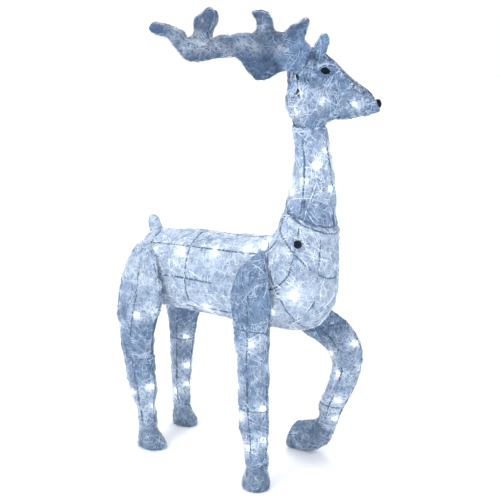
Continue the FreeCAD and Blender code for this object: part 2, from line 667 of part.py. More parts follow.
# Outlets in the torso that the lamp strings of the neck and the legs plug into.
outlets = []
outlet_foot = V(size("neck_plug_x"), 0, size("neck_outlet_z"))
outlet_outer = cylinder("neck_outlet_outer", "Sizes.plug_radius + Sizes.outlet_wall",
                        "Sizes.neck_outlet_length", FreeCAD.Placement(outlet_foot, upright))
outlet_floor = V(0, 0, size("neck_outlet_length") - size("neck_outlet_bore_depth"))
outlet_bore = cylinder("neck_outlet_bore", "Sizes.plug_pin_radius + 0.1",
                       "Sizes.neck_outlet_bore_depth",
                       FreeCAD.Placement(outlet_foot + outlet_floor, upright))
outlets.append(cut("neck_outlet", outlet_outer, outlet_bore))
for leg, side in LEGS.items():
    x, z = plug_axis(leg)
    turn = FreeCAD.Rotation(V(0, 0, 1), V(0, side, 0))
    foot = flank(x, z) - size("outlet_reach")
    floor = foot + size("outlet_length") - size("outlet_bore_depth")
    outer = cylinder(leg + "_outlet_outer", "Sizes.plug_radius + Sizes.outlet_wall",
                     "Sizes.outlet_length", FreeCAD.Placement(V(x, side * foot, z), turn))
    bore = cylinder(leg + "_outlet_bore", "Sizes.plug_radius + 0.1", "Sizes.outlet_bore_depth",
                    FreeCAD.Placement(V(x, side * floor, z), turn))
    outlets.append(cut(leg + "_outlet", outer, bore))
group("lamp_outlets", outlets, BODY_PLACE)

# ------------------------------------------------------------------ neck

neck_outer, neck_shell = skin("neck_skin", "neck", False, False)
keep("neck_skin", neck_shell, BODY_PLACE)
neck_wires = wire_frame("neck", NECK_HOOPS, QUARTER_LINES)
prong_length = size("prong_top") - size("prong_foot")
neck_wires += [Part.makeCylinder(size("peg_radius"), prong_length,
                                 V(size("lock_x"), side * size("prong_y"), size("prong_foot")))
               for side in LEFT_AND_RIGHT]
keep("neck_frame", feature("neck_frame", Part.makeCompound(neck_wires), BODY_PLACE))
plug_foot = V(size("neck_plug_x"), 0, size("neck_plug_z"))
plug_top = plug_foot + V(0, 0, size("neck_plug_length"))
neck_lead = [plug_top, plug_top + V(0, 0, 13)]
neck_cable, neck_lamps = lamp_string("neck", *NECK_STRING, lead=neck_lead)
pin_length = size("neck_pin_length")
neck_plug = [Part.makeCylinder(size("plug_radius"), size("neck_plug_length"), plug_foot),
             Part.makeCylinder(size("plug_pin_radius"), pin_length, plug_foot - V(0, 0, pin_length))]
keep("neck_led_cable", feature("neck_led_cable", Part.makeCompound([neck_cable] + neck_plug),
                               BODY_PLACE))
keep("neck_led_bulbs", feature("neck_led_bulbs", neck_lamps, BODY_PLACE))

# ------------------------------------------------------------------ head

head_outer, head_shell = skin("head_skin", "head", False, True)
SIDES = {"left": 1, "right": -1}


def antler_frame(side):
    """Placement of an antler's plane in the head's frame."""
    return FreeCAD.Placement(V(0, side * size("antler_root_y"), size("antler_root_z")),
                             FreeCAD.Rotation(V(1, 0, 0), -side * size("antler_lean")))


def pin_rod(label, side, x, radius, span):
    """A rod or bore along an antler's pin, in the head's frame; the pin stands inside its plane."""
    local = FreeCAD.Placement(V(x, -side * peg_shift, span[0]), upright)
    return cylinder(label, radius, "%g" % (span[1] - span[0]), antler_frame(side).multiply(local))


pin_holes = []
antler_sockets = []
for name, side in SIDES.items():
    for number, x in enumerate(ANTLER_PINS):
        label = "%s_antler_pin%d" % (name, number)
        pin_holes.append(pin_rod(label + "_hole", side, x, "Sizes.peg_hole", ANTLER_HOLE_SPAN))
        outer = pin_rod(label + "_tube", side, x, "Sizes.tube_radius", ANTLER_SOCKET_SPAN)
        bore = pin_rod(label + "_bore", side, x, "Sizes.tube_bore", ANTLER_SOCKET_SPAN)
        antler_sockets.append(cut(label + "_socket", outer, bore))
keep("head_skin", cut("head_skin_cut", head_shell, fuse("pin_holes", pin_holes)), HEAD_PLACE)
group("antler_sockets", antler_sockets, HEAD_PLACE)
socket_rods = []
for side in SIDES.values():
    for x in ANTLER_PINS:
        foot, top = ANTLER_HOLE_SPAN
        rod = Part.makeCylinder(tube_room, top - foot, V(x, -side * peg_shift, foot))
        rod.Placement = antler_frame(side).multiply(rod.Placement)
        socket_rods.append(rod)
head_wires = trimmed(wire_frame("head", HEAD_HOOPS, QUARTER_LINES), socket_rods)
keep("head_frame", feature("head_frame", Part.makeCompound(head_wires), HEAD_PLACE))

head_path = [V(*point) for point in HEAD_CABLE]
head_cable = bent_wire(head_path, size("cable_radius"), CABLE_BEND)
keep("head_led_cable", feature("head_led_cable", head_cable, HEAD_PLACE))
head_lamps = [lamp_at(point, V(0, 1 if point.y > 0 else -1, 0.3)) for point in head_path[1:-1]]
keep("head_led_bulbs", feature("head_led_bulbs", Part.makeCompound(head_lamps), HEAD_PLACE))

eye_turn = FreeCAD.Rotation(V(0, 1, 0), size("eye_tilt"))
for name, side in SIDES.items():
    ear_turn = FreeCAD.Rotation(V(0, 0, 1), V(EAR_LEAN[0], side * EAR_LEAN[1], 1.0))
    ear_middle = V(size("ear_x"), side * size("ear_y"), size("ear_z"))
    ear = ellipsoid(name + "_ear_leaf", "ear", FreeCAD.Placement(ear_middle, ear_turn))
    keep(name + "_ear", cut(name + "_ear", ear, head_outer), HEAD_PLACE)
    eye_middle = V(size("eye_x"), side * size("eye_y"), size("eye_z"))
    eye = ellipsoid(name + "_eye_ball", "eye", FreeCAD.Placement(eye_middle, eye_turn))
    keep(name + "_eye", cut(name + "_eye", eye, head_outer), HEAD_PLACE)
nose_middle = V(size("nose_x"), 0, size("nose_z"))
nose = ellipsoid("nose_ball", "nose", FreeCAD.Placement(nose_middle, upright))
keep("nose", cut("nose", nose, head_outer), HEAD_PLACE)

# ------------------------------------------------------------------ antlers

def inward(points, distance):
    """The outline moved in by a distance, point by point."""
    moved = []
    count = len(points)
    area = sum(points[i][0] * points[(i + 1) % count][1] - points[(i + 1) % count][0] * points[i][1]
               for i in range(count))
    hand = 1 if area > 0 else -1
    for number, (x, z) in enumerate(points):
        before = points[number - 1]
        after = points[(number + 1) % count]
        along = V(after[0] - before[0], 0, after[1] - before[1])
        along.normalize()
        moved.append((x - hand * along.z * distance, z + hand * along.x * distance))
    return moved


def antler_pad(label, less, side):
    """The outline as a smooth closed curve, thickened about its own plane."""
    curve = Part.BSplineCurve()
    outline = inward(ANTLER_OUTLINE, less) if less else ANTLER_OUTLINE
    curve.interpolate([V(x, 0, z) for x, z in outline], PeriodicFlag=True)
    profile = doc.addObject("Part::Feature", label + "_outline")
    profile.Shape = Part.Wire([curve.toShape()])
    pad = doc.addObject("Part::Extrusion", label)
    pad.Base = profile
    pad.DirMode = "Custom"
    pad.Dir = V(0, 1, 0)
    pad.Solid = True
    pad.Symmetric = True
    pad.setExpression("LengthFwd", "Sizes.antler_thickness - %g" % (2 * less))
    pad.Placement = antler_frame(side)
    return pad


def closed_wire(points, radius):
    """A closed polygon of wire, its two ends meeting in the middle of the first run."""
    middle = (points[0] + points[1]) * 0.5
    step = points[1] - points[0]
    step.normalize()
    path = [middle + step * 0.1] + points[1:] + [points[0], middle - step * 0.1]
    return bent_wire(path, radius, ANTLER_WIRE_BEND)


# The crown, grown by the clearance, which trims both antlers' roots.
head_steps = steps_between(0.0, len(HEAD) - 1.0)
crown = loft("crown_room", "head", head_steps, -size("skin_gap"))
doc.recompute()
for name, side in SIDES.items():
    pad = antler_pad(name + "_antler_pad", 0.0, side)
    room = antler_pad(name + "_antler_room", size("skin_wall"), side)
    keep(name + "_antler_skin",
         cut(name + "_antler_skin", cut(name + "_antler_shell", pad, room), crown), HEAD_PLACE)
    radius = size("wire_radius")
    ring = [V(x, 0, z) for x, z in inward(ANTLER_OUTLINE, 2.5)]
    wires = [closed_wire(ring, radius)]
    rib_y = side * size("weld_step")
    wires += [bent_wire([V(a[0], rib_y, a[1]), V(b[0], rib_y, b[1])], radius, 0)
              for a, b in ANTLER_RIBS]
    crown_room = crown.Shape.copy()
    crown_room.Placement = antler_frame(side).inverse().multiply(crown_room.Placement)
    wires = trimmed(wires, [crown_room])
    foot, top = ANTLER_PIN_SPAN
    wires += [Part.makeCylinder(size("peg_radius"), top - foot, V(x, -side * peg_shift, foot))
              for x in ANTLER_PINS]
    place = HEAD_PLACE + " * " + antler_place(side)
    keep(name + "_antler_frame", feature(name + "_antler_frame", Part.makeCompound(wires), place))
    path = [V(x, -side * 4.5, z) for x, z in ANTLER_CABLE]
    cable = bent_wire(path, size("cable_radius"), CABLE_BEND)
    keep(name + "_antler_led_cable", feature(name + "_antler_led_cable", cable, place))
    lamps = [lamp_at(point, V(0, 0, 1 if number % 2 else -1)) for number, point in enumerate(path)]
    keep(name + "_antler_led_bulbs",
         feature(name + "_antler_led_bulbs", Part.makeCompound(lamps[1:-1]), place))

# ------------------------------------------------------------------ legs

for leg, side in LEGS.items():
    table = leg + "_leg"
    last = len(HOOP_TABLES[table]) - 1
    leg_outer, leg_shell = skin(leg + "_leg_skin", table, True, False, side)
    keep(leg + "_leg_skin", leg_shell, BODY_PLACE)
    wires = wire_frame(table, steps_between(1.0, last - LEG_END), QUARTER_LINES, side)
    for hoop, (x, z) in zip(PEG_HOOPS, peg_axes(leg)):
        centre, _, _, half_width = hoop_row(table, hoop, side)
        outer_end = abs(centre.y) + half_width - size("wire_inset")
        inner_end = flank(x, z) - size("peg_depth")
        wires.append(Part.makeCylinder(size("peg_radius"), outer_end - inner_end,
                                       V(x, side * outer_end, z), V(0, -side, 0)))
    keep(table + "_frame", feature(table + "_frame", Part.makeCompound(wires), BODY_PLACE))
    plug_x, plug_z = plug_axis(leg)
    plug_end = abs(hoop_row(table, PLUG_HOOP, side)[0].y)
    plug_foot_y = flank(plug_x, plug_z) - 18
    start = V(plug_x, side * plug_end, plug_z)
    plug = Part.makeCylinder(size("plug_radius"), plug_end - plug_foot_y,
                             V(plug_x, side * plug_foot_y, plug_z), V(0, side, 0))
    lead = [start, start + V(0, 0, -14)]
    cable, lamps = lamp_string(table, (LEG_STRING_START, last - LEG_STRING_END), *LEG_STRING, side,
                               lead)
    keep(table + "_led_cable", feature(table + "_led_cable", Part.makeCompound([cable, plug]),
                                       BODY_PLACE))
    keep(table + "_led_bulbs", feature(table + "_led_bulbs", lamps, BODY_PLACE))
    _, hoof_shell = skin(leg + "_hoof", leg + "_hoof", False, True, side)
    keep(leg + "_hoof", hoof_shell, BODY_PLACE)

# ------------------------------------------------------------------ check and write

doc.recompute()
failed = [piece.Name for piece in doc.Objects if "Invalid" in piece.State or "Error" in piece.State]
if failed:
    raise RuntimeError("failed: %s" % failed)
empty = [node for node, piece in parts.items()
         if piece.Shape.isNull() or not piece.Shape.isValid() or not piece.Shape.Solids]
if empty:
    raise RuntimeError("no valid solid: %s" % empty)
os.makedirs("parts", exist_ok=True)
for node, piece in parts.items():
    piece.Shape.exportStep("parts/%s.step" % node)
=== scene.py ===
import json
import math
import random

import bmesh
import bpy
import numpy as np
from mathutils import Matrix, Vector, noise
from mathutils.bvhtree import BVHTree


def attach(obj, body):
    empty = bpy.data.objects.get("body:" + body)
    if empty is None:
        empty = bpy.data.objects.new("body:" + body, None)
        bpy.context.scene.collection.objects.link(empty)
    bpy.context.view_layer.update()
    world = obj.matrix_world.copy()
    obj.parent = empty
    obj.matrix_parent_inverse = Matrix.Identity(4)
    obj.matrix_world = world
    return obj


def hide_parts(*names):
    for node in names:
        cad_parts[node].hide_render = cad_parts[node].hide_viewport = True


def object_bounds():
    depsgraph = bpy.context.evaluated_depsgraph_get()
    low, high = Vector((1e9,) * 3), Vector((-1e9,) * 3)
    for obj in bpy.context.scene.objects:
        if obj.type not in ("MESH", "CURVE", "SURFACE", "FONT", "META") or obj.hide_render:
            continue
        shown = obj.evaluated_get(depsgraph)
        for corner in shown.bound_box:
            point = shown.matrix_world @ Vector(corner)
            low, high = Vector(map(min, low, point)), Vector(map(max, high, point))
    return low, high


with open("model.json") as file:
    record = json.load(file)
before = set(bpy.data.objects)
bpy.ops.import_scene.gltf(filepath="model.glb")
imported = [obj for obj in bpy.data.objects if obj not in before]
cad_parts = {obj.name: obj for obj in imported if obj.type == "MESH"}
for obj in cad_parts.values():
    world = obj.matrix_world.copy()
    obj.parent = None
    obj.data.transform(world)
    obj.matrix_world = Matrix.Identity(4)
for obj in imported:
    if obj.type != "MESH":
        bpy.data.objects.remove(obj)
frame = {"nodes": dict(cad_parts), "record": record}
cad_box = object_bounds()
nodes = frame["nodes"]
body_of = {node: body for body, members in frame["record"]["behaviour"]["bodies"].items()
           for node in members}

# ------------------------------------------------------------------ camera, floor and light

VIEW_AZIMUTH = 32.0             # degrees round from a view along +Y
VIEW_HEIGHT = 12.5              # degrees above level
VIEW_DISTANCE = 2.3
VIEW_LENS = 63.0
AIM_ASIDE = (0.0155, 0.0553)    # from the middle of the box to what the camera looks at
AIM_HEIGHT = 0.489              # share of the whole height
BACKGROUND = (0.98, 0.985, 1.0)


def view_back(azimuth, height):
    """Unit vector from what is looked at towards the eye."""
    a = math.radians(azimuth)
    h = math.radians(height)
    return Vector((math.sin(a) * math.cos(h), -math.cos(a) * math.cos(h), math.sin(h)))


low, high = (Vector(corner) for corner in cad_box)
aim = Vector(((low.x + high.x) / 2 + AIM_ASIDE[0], (low.y + high.y) / 2 + AIM_ASIDE[1],
              high.z * AIM_HEIGHT))
camera_data = bpy.data.cameras.new("camera")
camera_data.lens = VIEW_LENS
camera_data.sensor_width = 36.0
camera = bpy.data.objects.new("camera", camera_data)
bpy.context.scene.collection.objects.link(camera)
back = view_back(VIEW_AZIMUTH, VIEW_HEIGHT)
camera.location = aim + back * VIEW_DISTANCE
camera.rotation_euler = back.to_track_quat("Z", "Y").to_euler()
bpy.context.scene.camera = camera


LIGHT_DISTANCE = 3.0
LIGHT_MIDDLE = Vector((0, 0, 0.6))


def area_light(name, azimuth, height, size, power):
    """A round soft light, aimed at the middle of the deer."""
    data = bpy.data.lights.new(name, "AREA")
    data.shape = "DISK"
    data.size = size
    data.energy = power
    light = bpy.data.objects.new(name, data)
    bpy.context.scene.collection.objects.link(light)
    back_way = view_back(azimuth, height)
    light.location = LIGHT_MIDDLE + back_way * LIGHT_DISTANCE
    light.rotation_euler = back_way.to_track_quat("Z", "Y").to_euler()


area_light("key_light", -15, 38, 1.4, 42)
area_light("fill_light", 100, 25, 2.0, 14)
area_light("back_light", 205, 45, 1.6, 26)

world = bpy.data.worlds.new("studio")
world.use_nodes = True
sky = world.node_tree.nodes["Background"]
sky.inputs["Color"].default_value = (*BACKGROUND, 1.0)
sky.inputs["Strength"].default_value = 1.03
bpy.context.scene.world = world
bpy.context.scene.view_settings.view_transform = "Standard"


# ------------------------------------------------------------------ materials

RAGGED_EDGE = 0.06              # how far the noise shifts where one pair of tones passes into another


class Shader:
    """A short way to write a node material."""

    def __init__(self, name):
        self.material = bpy.data.materials.new(name)
        self.material.use_nodes = True
        self.tree = self.material.node_tree
        self.bsdf = self.tree.nodes["Principled BSDF"]
        self.coords = self.node("ShaderNodeTexCoord").outputs["Object"]

    def node(self, kind, **settings):
        made = self.tree.nodes.new(kind)
        for key, value in settings.items():
            setattr(made, key, value)
        return made

    def link(self, source, target):
        self.tree.links.new(source, target)

    def feed(self, target, value):
        """Sets a socket, from a number or from another socket."""
        if isinstance(value, (int, float, tuple)):
            target.default_value = value
        else:
            self.link(value, target)

    def noise(self, scale, detail=3.0, roughness=0.5):
        made = self.node("ShaderNodeTexNoise")
        made.inputs["Scale"].default_value = scale
        made.inputs["Detail"].default_value = detail
        made.inputs["Roughness"].default_value = roughness
        self.link(self.coords, made.inputs["Vector"])
        return made.outputs["Fac"]

    def warped(self, scale, warp):
        """The object's own coordinates, pushed about by a soft noise."""
        shift = self.node("ShaderNodeTexNoise")
        shift.inputs["Scale"].default_value = scale * 0.5
        shift.inputs["Detail"].default_value = 2.0
        self.link(self.coords, shift.inputs["Vector"])
        mix = self.node("ShaderNodeMixRGB", blend_type="LINEAR_LIGHT")
        mix.inputs["Fac"].default_value = warp / scale
        self.link(self.coords, mix.inputs["Color1"])
        self.link(shift.outputs["Color"], mix.inputs["Color2"])
        return mix.outputs["Color"]

    def cracks(self, scale, width, warp):
        """1 along the edges of random cells, 0 in their middles."""
        cells = self.node("ShaderNodeTexVoronoi", feature="DISTANCE_TO_EDGE")
        cells.inputs["Scale"].default_value = scale
        self.link(self.warped(scale, warp), cells.inputs["Vector"])
        return self.ramp(cells.outputs["Distance"], 0.0, width, 1.0, 0.0)

    def ramp(self, value, from_low, from_high, to_low, to_high):
        made = self.node("ShaderNodeMapRange")
        made.interpolation_type = "SMOOTHSTEP"
        for key, number in (("From Min", from_low), ("From Max", from_high),
                            ("To Min", to_low), ("To Max", to_high)):
            made.inputs[key].default_value = number
        self.link(value, made.inputs["Value"])
        return made.outputs["Result"]

    def math(self, operation, a, b):
        made = self.node("ShaderNodeMath", operation=operation)
        self.feed(made.inputs[0], a)
        self.feed(made.inputs[1], b)
        return made.outputs[0]

    def mix(self, amount, first, second):
        made = self.node("ShaderNodeMixRGB")
        self.feed(made.inputs["Fac"], amount)
        self.feed(made.inputs["Color1"], first if not isinstance(first, tuple) else (*first, 1.0))
        self.feed(made.inputs["Color2"], second if not isinstance(second, tuple) else (*second, 1.0))
        return made.outputs["Color"]

    def graded(self, tones, other):
        """A dark and a light tone, which pass over into another pair with height, or near a point."""
        if not other:
            return tones
        place, near, far, dark, light = other
        if place is None:
            split = self.node("ShaderNodeSeparateXYZ")
            self.link(self.coords, split.inputs[0])
            measure = split.outputs["Z"]
        else:
            gap = self.node("ShaderNodeVectorMath", operation="DISTANCE")
            self.link(self.coords, gap.inputs[0])
            gap.inputs[1].default_value = place
            measure = gap.outputs["Value"]
        ragged = self.node("ShaderNodeMath", operation="MULTIPLY_ADD")
        self.link(self.noise(30.0), ragged.inputs[0])
        ragged.inputs[1].default_value = RAGGED_EDGE
        self.link(measure, ragged.inputs[2])
        share = self.ramp(ragged.outputs[0], near, far, 0.0, 1.0)
        return self.mix(share, tones[0], dark), self.mix(share, tones[1], light)

    def attribute(self, name):
        made = self.node("ShaderNodeAttribute")
        made.attribute_name = name
        return made.outputs["Fac"]

    def bump(self, height, distance, strength=0.6):
        made = self.node("ShaderNodeBump")
        made.inputs["Distance"].default_value = distance
        made.inputs["Strength"].default_value = strength
        self.link(height, made.inputs["Height"])
        self.link(made.outputs["Normal"], self.bsdf.inputs["Normal"])

    def finish(self, colour, roughness, **others):
        self.feed(self.bsdf.inputs["Base Color"], colour if not isinstance(colour, tuple)
                  else (*colour, 1.0))
        self.feed(self.bsdf.inputs["Roughness"], roughness)
        for key, value in others.items():
            self.feed(self.bsdf.inputs[key.replace("_", " ")], value)
        return self.material


LAMP_TINT = (0.84, 0.93, 1.0, 1.0)


def film_material(name, tones, scale, cover, glow_power, upper=None):
    """The sheet of fused threads: round darker cells with pale edges, thin enough to see into."""
    shader = Shader(name)
    dark, light = shader.graded(tones, upper)
    cells = shader.node("ShaderNodeTexVoronoi", feature="F1")
    cells.inputs["Scale"].default_value = scale
    shader.link(shader.warped(scale, 0.5), cells.inputs["Vector"])
    hollow = shader.ramp(cells.outputs["Distance"], 0.30, 0.66, 0.0, 1.0)
    coarse = shader.cracks(scale, 0.09, 0.5)
    fine = shader.cracks(scale * 2.4, 0.14, 0.8)
    streak = shader.ramp(shader.noise(scale * 7.0, 2.0, 0.6), 0.52, 0.66, 0.0, 0.5)
    lines = shader.math("MAXIMUM", coarse, shader.math("MULTIPLY", fine, 0.5))
    lines = shader.math("MAXIMUM", lines, streak)
    web = shader.math("MAXIMUM", lines, shader.math("MULTIPLY", hollow, 0.55))
    cloud = shader.ramp(shader.noise(14.0, 2.0), 0.40, 0.66, 0.0, 0.35)
    ground = shader.mix(cloud, dark, light)
    colour = shader.mix(web, ground, light)
    glow = shader.attribute("glow")
    patchy = shader.ramp(shader.noise(130.0, 3.0, 0.7), 0.40, 0.60, 0.1, 1.0)
    core = shader.ramp(glow, 0.5, 0.9, 0.0, 1.0)
    lit = shader.math("MAXIMUM", core, shader.math("MULTIPLY", glow, patchy))
    colour = shader.mix(lit, colour, (0.95, 0.975, 1.0))
    alpha = shader.math("MAXIMUM", shader.math("MAXIMUM", web, lit), cover)
    shader.bump(web, 0.0015)
    material = shader.finish(colour, 0.4, Alpha=alpha)
    shader.feed(shader.bsdf.inputs["Emission Color"], LAMP_TINT)
    shader.feed(shader.bsdf.inputs["Emission Strength"], shader.math("MULTIPLY", lit, glow_power))
    return material


def thread_material(name, tones, glow_power, upper=None):
    """Clear spun threads: glossy, white where a lamp is behind them."""
    shader = Shader(name)
    dark, light = shader.graded(tones, upper)
    shade = shader.ramp(shader.noise(45.0, 3.0, 0.6), 0.36, 0.62, 0.0, 1.0)
    glow = shader.attribute("glow")
    colour = shader.mix(glow, shader.mix(shade, dark, light), (0.97, 0.985, 1.0))
    material = shader.finish(colour, 0.25)
    shader.feed(shader.bsdf.inputs["Emission Color"], LAMP_TINT)
    shader.feed(shader.bsdf.inputs["Emission Strength"], shader.math("MULTIPLY", glow, glow_power))
    return material


def plain_material(name, dark, light, scale, rough_low, rough_high, bump_height):
    """Coated metal or moulded plastic, with slight wear and grain; for the frame wires the dark tone is
    painted shade.
    """
    shader = Shader(name)
    grain = shader.noise(scale, 4.0, 0.6)
    colour = shader.mix(shader.ramp(grain, 0.3, 0.7, 0.0, 1.0), dark, light)
    roughness = shader.ramp(shader.noise(scale * 0.4), 0.3, 0.7, rough_low, rough_high)
    shader.bump(grain, bump_height, 0.4)
    return shader.finish(colour, roughness)


def lamp_material():
    """A clear lamp that is lit."""
    shader = Shader("lamp_glass")
    grain = shader.ramp(shader.noise(400.0), 0.3, 0.7, 0.75, 1.0)
    colour = shader.mix(grain, (0.75, 0.85, 1.0), (0.95, 0.98, 1.0))
    material = shader.finish(colour, 0.2)
    shader.feed(shader.bsdf.inputs["Emission Color"], LAMP_TINT)
    shader.feed(shader.bsdf.inputs["Emission Strength"], 3.0)
    return material


# pairs of a dark and a light tone
BODY = ((0.17, 0.265, 0.43), (0.56, 0.67, 0.82))
NECK = ((0.060, 0.125, 0.26), (0.29, 0.41, 0.61))
HEAD = ((0.040, 0.092, 0.205), (0.18, 0.30, 0.50))
# painted shade: the legs' film tones are darker copies of the body's, standing in for the shade on the
# legs
SHADED_LEG = ((0.046, 0.100, 0.21), (0.20, 0.32, 0.50))
ANTLER = ((0.018, 0.046, 0.105), (0.062, 0.125, 0.24))
HOOF = ((0.050, 0.095, 0.175), (0.24, 0.33, 0.48))
BODY_THREAD = ((0.33, 0.45, 0.63), (0.82, 0.90, 0.98))
NECK_THREAD = ((0.15, 0.25, 0.42), (0.66, 0.77, 0.92))
HEAD_THREAD = ((0.11, 0.20, 0.36), (0.58, 0.71, 0.89))
# painted shade: the legs' thread tones are darker copies of the body's threads, standing in for the
# shade on the legs
SHADED_LEG_THREAD = ((0.15, 0.25, 0.42), (0.56, 0.68, 0.85))
ANTLER_THREAD = ((0.04, 0.085, 0.17), (0.27, 0.38, 0.56))
HOOF_THREAD = ((0.13, 0.22, 0.35), (0.60, 0.71, 0.86))
ANTLER_ROOT = (0.200, 0.030, 1.08)

MATERIALS = {
    "body_film": film_material("body_film", BODY, 52.0, 0.85, 0.9),
    "neck_film": film_material("neck_film", NECK, 58.0, 0.86, 0.9),
    "head_film": film_material("head_film", HEAD, 70.0, 0.88, 0.9),
    # painted shade on the hind legs and tail: darker low down, passing into the body's tones higher up;
    # the forelegs keep the darker tones all the way
    "leg_film": film_material("leg_film", SHADED_LEG, 68.0, 0.88, 0.9, (None, 0.40, 0.56, *BODY)),
    "foreleg_film": film_material("foreleg_film", SHADED_LEG, 60.0, 0.88, 0.9),
    "antler_film": film_material("antler_film", HEAD, 100.0, 0.94, 0.8,
                                 (ANTLER_ROOT, 0.085, 0.125, *ANTLER)),
    "hoof_film": film_material("hoof_film", HOOF, 85.0, 0.94, 0.8),
    "body_threads": thread_material("body_threads", BODY_THREAD, 0.7),
    "neck_threads": thread_material("neck_threads", NECK_THREAD, 0.7),
    "head_threads": thread_material("head_threads", HEAD_THREAD, 0.7),
    # painted shade on the hind leg and tail threads: darker low down, the body's thread tones higher up;
    # the forelegs' threads keep the darker tones
    "leg_threads": thread_material("leg_threads", SHADED_LEG_THREAD, 0.7, (None, 0.40, 0.56, *BODY_THREAD)),
    "foreleg_threads": thread_material("foreleg_threads", SHADED_LEG_THREAD, 0.7),
    "antler_threads": thread_material("antler_threads", HEAD_THREAD, 0.6,
                                      (ANTLER_ROOT, 0.085, 0.125, *ANTLER_THREAD)),
    "hoof_threads": thread_material("hoof_threads", HOOF_THREAD, 0.6),
    # painted shade: the frame wires are white-painted steel, and this dark tone stands in for the shade
    # they lie in under the lit film; the grain and wear are their own
    "frame_wire": plain_material("wire_dark_for_painted_shade", (0.05, 0.09, 0.17), (0.10, 0.16, 0.27), 120.0,
                                 0.3, 0.5, 0.0002),
    "tube_steel": plain_material("coated_tube", (0.25, 0.32, 0.43), (0.36, 0.44, 0.56), 150.0,
                                 0.3, 0.5, 0.0002),
    "lamp_cable": plain_material("clear_cable", (0.36, 0.46, 0.60), (0.56, 0.66, 0.80), 200.0,
                                 0.25, 0.4, 0.0002),
    "antler_cable": plain_material("antler_cable", (0.05, 0.09, 0.16), (0.10, 0.16, 0.26), 200.0,
                                   0.25, 0.4, 0.0002),
    "black_fitting": plain_material("moulded_black", (0.004, 0.007, 0.014), (0.010, 0.016, 0.030),
                                    300.0, 0.35, 0.55, 0.0002),
    "black_gloss": plain_material("gloss_black", (0.001, 0.002, 0.005), (0.004, 0.007, 0.016), 200.0,
                                  0.3, 0.45, 0.0001),
    "lamp": lamp_material(),
}
for name in ("black_fitting", "black_gloss"):
    black = MATERIALS[name].node_tree.nodes["Principled BSDF"]
    black.inputs["Specular IOR Level"].default_value = 0.1


def dress(obj, material):
    obj.data.materials.clear()
    obj.data.materials.append(MATERIALS[material])


for entry in frame["record"]["subparts"]:
    slot = entry["material_slot"]
    if entry["node"].endswith("antler_led_cable"):
        slot = "antler_cable"
    if slot in MATERIALS:
        dress(nodes[entry["node"]], slot)

# ------------------------------------------------------------------ surfaces taken from the frame

RAYS = 5                        # cast from each tested face
RAY_START = 0.0003              # clear of the face that it leaves
RAY_TILT = 0.8
RAY_REACH = 0.6
CREASE = math.radians(40.0)     # a sharper edge parts two groups of faces
MOST_SAMPLES = 400              # faces tested in a group
INNER_SHARE = 0.65              # share of stopped rays above which a group is all inner wall
MIXED_SHARE = 0.25              # and above which it holds both walls
INNER_RAYS = 3                  # stopped rays that make one face an inner one
STRAY_SHARE = 0.03              # share of a group below which a patch of faces is stray
LEAST_KEPT = 0.6                # share of the wall's area that its even mesh has to reach
SAME_POINT = 0.00002            # vertices nearer than this are one
SAME_WIRE_POINT = 0.00001
OFF_WALL = 0.9                  # in voxels: a remeshed face further from the wall closes an opening
SMOOTHINGS = 3


def mesh_object(name, verts, faces):
    mesh = bpy.data.meshes.new(name)
    mesh.from_pydata([tuple(v) for v in verts], [], [tuple(f) for f in faces])
    mesh.update()
    obj = bpy.data.objects.new(name, mesh)
    bpy.context.scene.collection.objects.link(obj)
    return obj


def stopped_rays(tree, centre, normal):
    """How many of five rays, spread about the normal, meet the piece again."""
    side = normal.orthogonal().normalized()
    other = normal.cross(side)
    rays = [normal] + [(normal + tilt * RAY_TILT).normalized() for tilt in (side, -side, other, -other)]
    return sum(tree.ray_cast(centre + ray * RAY_START, ray, RAY_REACH)[0] is not None for ray in rays)


def face_groups(faces, may_cross):
    """Connected groups of faces, grown over the edges that may be crossed."""
    unseen = set(faces)
    groups = []
    for seed in faces:
        if seed not in unseen:
            continue
        unseen.remove(seed)
        group = [seed]
        stack = [seed]
        while stack:
            for edge in stack.pop().edges:
                for other in edge.link_faces:
                    if other in unseen and may_cross(edge, other):
                        unseen.remove(other)
                        group.append(other)
                        stack.append(other)
        groups.append(group)
    return groups


def smooth_edge(edge, _):
    return len(edge.link_faces) == 2 and edge.calc_face_angle(0.0) <= CREASE


def area_of(faces):
    return sum(face.calc_area() for face in faces)


def inner_side(tree, island):
    """The faces of a mixed group that look into the cavity, without stray patches of either kind."""
    inner = {face for face in island
             if stopped_rays(tree, face.calc_center_median(), face.normal) >= INNER_RAYS}
    small = area_of(island) * STRAY_SHARE
    for wanted in (True, False):
        kind = [face for face in island if (face in inner) == wanted]
        members = set(kind)
        for patch in face_groups(kind, lambda _, other: other in members):
            if area_of(patch) < small:
                inner.symmetric_difference_update(patch)
    return inner


def welded(node, gap):
    """A CAD piece's mesh with its vertices joined."""
    bm = bmesh.new()
    bm.from_mesh(nodes[node].data)
    bmesh.ops.remove_doubles(bm, verts=bm.verts, dist=gap)
    bm.normal_update()
    return bm


def outer_wall(node):
    """The outward walls of a hollow CAD piece: most rays from the inner ones are stopped.

    Where a smooth group runs over the rim and holds both walls, its faces are told apart one by one.
    """
    bm = welded(node, SAME_POINT)
    tree = BVHTree.FromBMesh(bm)
    inner = []
    for island in face_groups(list(bm.faces), smooth_edge):
        sample = island[::len(island) // MOST_SAMPLES + 1]
        stopped = sum(face.calc_area() * stopped_rays(tree, face.calc_center_median(), face.normal)
                      for face in sample)
        share = stopped / max(area_of(sample) * RAYS, 1e-12)
        if share > INNER_SHARE:
            inner += island
        elif share > MIXED_SHARE:
            inner += inner_side(tree, island)
    bmesh.ops.delete(bm, geom=inner, context="FACES")
    return bm


